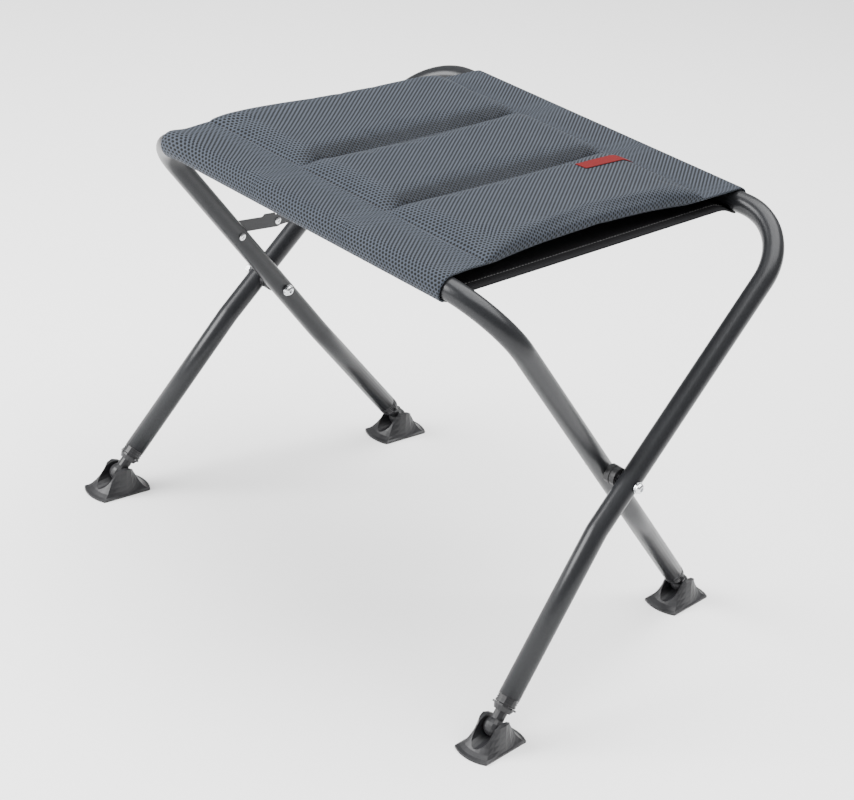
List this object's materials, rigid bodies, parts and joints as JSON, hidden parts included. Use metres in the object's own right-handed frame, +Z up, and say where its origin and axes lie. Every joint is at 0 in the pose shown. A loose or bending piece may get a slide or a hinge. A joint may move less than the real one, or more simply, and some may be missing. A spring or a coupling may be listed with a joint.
{
  "type": "folding camp stool",
  "caption": "Folding camp stool: crossed bent-tube frames, a padded mesh seat slung between their rails, a folding side stay and ball-jointed foot pads.",
  "frame": {"origin": "on the floor, under the middle of the stool's bounding box", "axes": "+X along the seat rails, +Y from the inner frame's rail to the outer frame's rail, +Z up"},
  "size_m": [0.623, 0.4487, 0.4725],
  "materials": {
    "frame_paint": "dark grey satin metallic paint",
    "bright_zinc": "bright zinc plate",
    "foot_plastic": "dark grey moulded nylon",
    "spacer_plastic": "black moulded nylon",
    "seat_mesh": "coarse blue-grey air mesh",
    "pad_foam": "soft foam",
    "lining_cloth": "black woven cloth"
  },
  "bodies": {
    "outer_frame": {"outer_frame_tube": "frame_paint", "outer_end_plug_left": "foot_plastic", "outer_end_plug_right": "foot_plastic", "pivot_bolt_left": "bright_zinc", "pivot_nut_left": "bright_zinc", "pivot_head_washer_left": "bright_zinc", "pivot_nut_washer_left": "bright_zinc", "pivot_spacer_left": "spacer_plastic", "pivot_bolt_right": "bright_zinc", "pivot_nut_right": "bright_zinc", "pivot_head_washer_right": "bright_zinc", "pivot_nut_washer_right": "bright_zinc", "pivot_spacer_right": "spacer_plastic", "stay_rivet_rear": "bright_zinc", "stay_washer_rear": "bright_zinc", "seat_cover": "seat_mesh", "seat_pad_1": "pad_foam", "seat_pad_2": "pad_foam", "seat_pad_3": "pad_foam", "seat_lining": "lining_cloth"},
    "inner_frame": {"inner_frame_tube": "frame_paint", "inner_end_plug_left": "foot_plastic", "inner_end_plug_right": "foot_plastic", "stay_rivet_front": "bright_zinc", "stay_washer_front": "bright_zinc"},
    "stay_link_front": {"stay_link_front": "frame_paint", "stay_rivet_elbow": "bright_zinc"},
    "stay_link_rear": {"stay_link_rear": "frame_paint"},
    "inner_stud_left": {"inner_ball_stud_left": "foot_plastic"},
    "inner_pad_left": {"inner_foot_pad_left": "foot_plastic"},
    "inner_stud_right": {"inner_ball_stud_right": "foot_plastic"},
    "inner_pad_right": {"inner_foot_pad_right": "foot_plastic"},
    "outer_stud_left": {"outer_ball_stud_left": "foot_plastic"},
    "outer_pad_left": {"outer_foot_pad_left": "foot_plastic"},
    "outer_stud_right": {"outer_ball_stud_right": "foot_plastic"},
    "outer_pad_right": {"outer_foot_pad_right": "foot_plastic"}
  },
  "joints": [
    {"name": "fold", "type": "hinge", "parent": "outer_frame", "child": "inner_frame", "pos_m": [0, -0.00798, 0.23052], "axis": [-1, 0, 0], "range_deg": [0, 78], "deforming": ["seat_cover", "seat_pad_1", "seat_pad_2", "seat_pad_3", "seat_lining"]},
    {"name": "stay_front_turn", "type": "hinge", "parent": "inner_frame", "child": "stay_link_front", "pos_m": [-0.25399, -0.07905, 0.30781], "axis": [1, 0, 0], "range_deg": [0, 127]},
    {"name": "stay_rear_turn", "type": "hinge", "parent": "outer_frame", "child": "stay_link_rear", "pos_m": [-0.25564, 0.06535, 0.30567], "axis": [-1, 0, 0], "range_deg": [0, 127]},
    {"name": "inner_stud_left_swivel", "type": "hinge", "parent": "inner_frame", "child": "inner_stud_left", "pos_m": [-0.22, 0.1884, 0.0215], "axis": [-0.0711, -0.6866, 0.7235], "range_deg": [-20, 20]},
    {"name": "inner_pad_left_tilt", "type": "hinge", "parent": "inner_stud_left", "child": "inner_pad_left", "pos_m": [-0.22, 0.1884, 0.0215], "axis": [1, 0, 0], "range_deg": [-25, 25]},
    {"name": "inner_stud_right_swivel", "type": "hinge", "parent": "inner_frame", "child": "inner_stud_right", "pos_m": [0.22, 0.1884, 0.0215], "axis": [0.0711, -0.6866, 0.7235], "range_deg": [-20, 20]},
    {"name": "inner_pad_right_tilt", "type": "hinge", "parent": "inner_stud_right", "child": "inner_pad_right", "pos_m": [0.22, 0.1884, 0.0215], "axis": [1, 0, 0], "range_deg": [-25, 25]},
    {"name": "outer_stud_left_swivel", "type": "hinge", "parent": "outer_frame", "child": "outer_stud_left", "pos_m": [-0.2895, -0.17456, 0.0215], "axis": [0.0717, 0.6003, 0.7966], "range_deg": [-20, 20]},
    {"name": "outer_pad_left_tilt", "type": "hinge", "parent": "outer_stud_left", "child": "outer_pad_left", "pos_m": [-0.2895, -0.17456, 0.0215], "axis": [1, 0, 0], "range_deg": [-25, 25]},
    {"name": "outer_stud_right_swivel", "type": "hinge", "parent": "outer_frame", "child": "outer_stud_right", "pos_m": [0.2895, -0.17456, 0.0215], "axis": [-0.0717, 0.6003, 0.7966], "range_deg": [-20, 20]},
    {"name": "outer_pad_right_tilt", "type": "hinge", "parent": "outer_stud_right", "child": "outer_pad_right", "pos_m": [0.2895, -0.17456, 0.0215], "axis": [1, 0, 0], "range_deg": [-25, 25]}
  ],
  "couplings": [
    {"joint": "stay_front_turn", "follows": "fold", "ratio": 1.6167},
    {"joint": "stay_rear_turn", "follows": "fold", "ratio": 1.6167}
  ]
}
